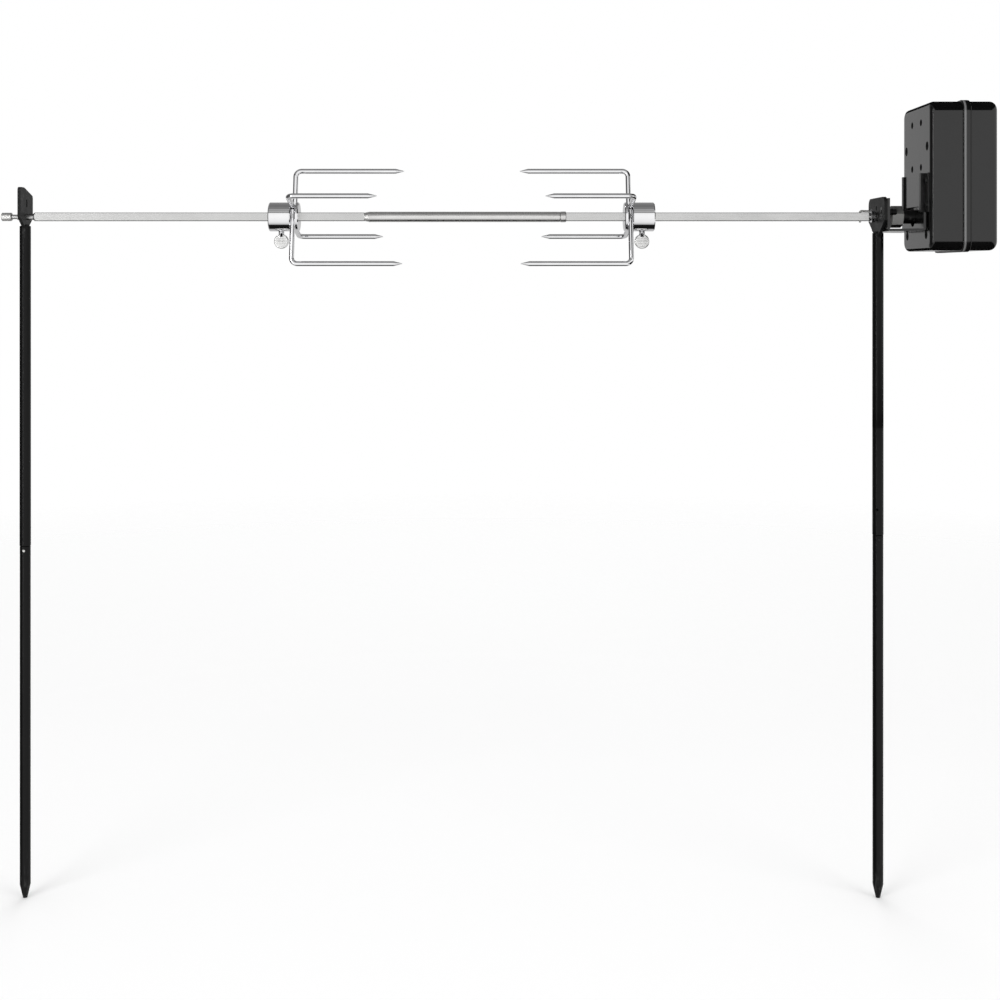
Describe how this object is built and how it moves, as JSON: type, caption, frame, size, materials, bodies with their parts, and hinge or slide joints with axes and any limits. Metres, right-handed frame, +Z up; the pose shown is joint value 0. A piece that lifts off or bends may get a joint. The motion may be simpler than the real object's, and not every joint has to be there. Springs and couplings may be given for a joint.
{
  "type": "open-fire rotisserie",
  "caption": "Open-fire rotisserie: pointed ground stakes carry a turning spit with sliding meat forks, driven by a battery motor housing on a bent bracket.",
  "frame": {"origin": "left stake's axis at the ground line", "axes": "+X along the spit from the left stake to the driven right end, +Y away from the cook, +Z up"},
  "size_m": [0.9318, 0.095, 0.7527],
  "materials": {
    "stake_black": "satin black paint on steel rod",
    "plate_black": "satin black paint on steel plate",
    "weld": "painted over weld bead",
    "spit_steel": "drawn stainless bar",
    "sleeve_steel": "turned stainless sleeve",
    "fork_chrome": "polished chrome plate",
    "nut_steel": "knurled nickel-plated steel",
    "zinc": "zinc-plated steel",
    "black_oxide": "black oxide, oiled",
    "bracket_steel": "bent steel sheet with a grey phosphate coat",
    "rail_black": "black powder coat",
    "screw_zinc": "zinc-plated screws",
    "screw_black": "blackened screws and bolts",
    "housing_plastic": "moulded black ABS, semi-gloss",
    "seal_rubber": "soft black elastomer",
    "cover_plastic": "moulded black ABS",
    "switch_plastic": "glossy nylon",
    "acetal": "white acetal",
    "bronze": "oil-filled sintered bronze",
    "gear_plate_steel": "plain punched steel",
    "can_steel": "nickel-plated motor can",
    "tray_plastic": "dark grey polypropylene",
    "cell_jacket": "printed-free shrink jacket",
    "contact_nickel": "nickel-plated spring steel",
    "lead_insulation": "flexible insulated wire"
  },
  "bodies": {
    "stand": {"left_stake_top": "stake_black", "right_stake_top": "stake_black", "left_support_plate": "plate_black", "right_support_plate": "plate_black", "plate_welds": "weld", "motor_bracket": "bracket_steel", "bracket_bolts": "screw_black", "guide_rails": "rail_black", "rail_rivets": "screw_black", "front_shell": "housing_plastic", "rear_shell": "housing_plastic", "housing_seal": "seal_rubber", "housing_screws": "screw_black", "output_front_bush": "bronze", "output_rear_bush": "bronze", "gear_plate": "gear_plate_steel", "gear_plate_posts": "gear_plate_steel", "reduction_gearbox": "can_steel", "motor_can": "can_steel", "battery_tray": "tray_plastic", "battery_cells": "cell_jacket", "battery_contacts": "contact_nickel", "battery_springs": "contact_nickel", "switch_body": "switch_plastic", "internal_leads": "lead_insulation", "compound_gear_axle": "gear_plate_steel"},
    "left_lower_stake": {"left_stake_bottom": "stake_black"},
    "right_lower_stake": {"right_stake_bottom": "stake_black"},
    "left_grub_screw": {"left_joint_screw": "screw_zinc"},
    "right_grub_screw": {"right_joint_screw": "screw_black"},
    "spit": {"spit_left_bar": "spit_steel", "spit_sleeve": "sleeve_steel", "sleeve_lock_ring": "sleeve_steel", "spit_right_bar": "spit_steel", "stop_collar": "fork_chrome", "drive_collar": "zinc", "drive_socket": "black_oxide", "output_gear": "acetal"},
    "nut": {"end_nut": "nut_steel"},
    "pin": {"retaining_pin": "zinc"},
    "left_fork": {"left_fork_hub": "fork_chrome", "left_long_prongs": "fork_chrome", "left_short_prongs": "fork_chrome", "left_fork_end_plate": "fork_chrome"},
    "right_fork": {"right_fork_hub": "fork_chrome", "right_long_prongs": "fork_chrome", "right_short_prongs": "fork_chrome", "right_fork_end_plate": "fork_chrome"},
    "left_fork_screw": {"left_thumb_screw": "fork_chrome"},
    "right_fork_screw": {"right_thumb_screw": "fork_chrome"},
    "compound": {"compound_gear": "acetal"},
    "pinion": {"drive_pinion": "bronze"},
    "cover": {"battery_cover": "cover_plastic"},
    "rocker": {"switch_rocker": "switch_plastic"}
  },
  "joints": [
    {"name": "spit_spin", "type": "hinge", "parent": "stand", "child": "spit", "pos_m": [0.432, 0, 0.496], "axis": [1, 0, 0], "continuous": true},
    {"name": "left_fork_slide", "type": "slide", "parent": "spit", "child": "left_fork", "axis": [1, 0, 0], "range_m": [-0.216, 0.05]},
    {"name": "right_fork_slide", "type": "slide", "parent": "spit", "child": "right_fork", "axis": [1, 0, 0], "range_m": [-0.048, 0.19]},
    {"name": "left_thumb_screw_turn", "type": "hinge", "parent": "left_fork", "child": "left_fork_screw", "pos_m": [0.2434, 0, 0.476], "axis": [0, 0, -1], "range_deg": [0, 450]},
    {"name": "right_thumb_screw_turn", "type": "hinge", "parent": "right_fork", "child": "right_fork_screw", "pos_m": [0.5858, 0, 0.476], "axis": [0, 0, -1], "range_deg": [0, 450]},
    {"name": "end_nut_turn", "type": "hinge", "parent": "spit", "child": "nut", "pos_m": [-0.017, 0, 0.496], "axis": [-1, 0, 0], "range_deg": [0, 720]},
    {"name": "retaining_pin_lift", "type": "slide", "parent": "spit", "child": "pin", "axis": [0, 0, 1], "range_m": [0, 0.02]},
    {"name": "left_stake_extend", "type": "slide", "parent": "stand", "child": "left_lower_stake", "axis": [0, 0, -1], "range_m": [0, 0.028]},
    {"name": "right_stake_extend", "type": "slide", "parent": "stand", "child": "right_lower_stake", "axis": [0, 0, -1], "range_m": [0, 0.028]},
    {"name": "left_grub_screw_turn", "type": "hinge", "parent": "left_lower_stake", "child": "left_grub_screw", "pos_m": [0, -0.0045, 0.1795], "axis": [0, -1, 0], "range_deg": [0, 720]},
    {"name": "right_grub_screw_turn", "type": "hinge", "parent": "right_lower_stake", "child": "right_grub_screw", "pos_m": [0.81, -0.0045, 0.19], "axis": [0, -1, 0], "range_deg": [0, 720]},
    {"name": "compound_spin", "type": "hinge", "parent": "stand", "child": "compound", "pos_m": [0.858, 0.0226, 0.5125], "axis": [1, 0, 0], "continuous": true},
    {"name": "pinion_spin", "type": "hinge", "parent": "stand", "child": "pinion", "pos_m": [0.862, -0.0014, 0.5125], "axis": [1, 0, 0], "continuous": true},
    {"name": "battery_cover_hinge", "type": "hinge", "parent": "stand", "child": "cover", "pos_m": [0.9071, 0, 0.5355], "axis": [0, 1, 0], "range_deg": [0, 90]},
    {"name": "switch_rock", "type": "hinge", "parent": "stand", "child": "rocker", "pos_m": [0.8929, 0.0452, 0.496], "axis": [1, 0, 0], "range_deg": [0, 18]}
  ],
  "couplings": [
    {"joint": "compound_spin", "follows": "spit_spin", "ratio": -3.6667},
    {"joint": "pinion_spin", "follows": "spit_spin", "ratio": 11}
  ]
}
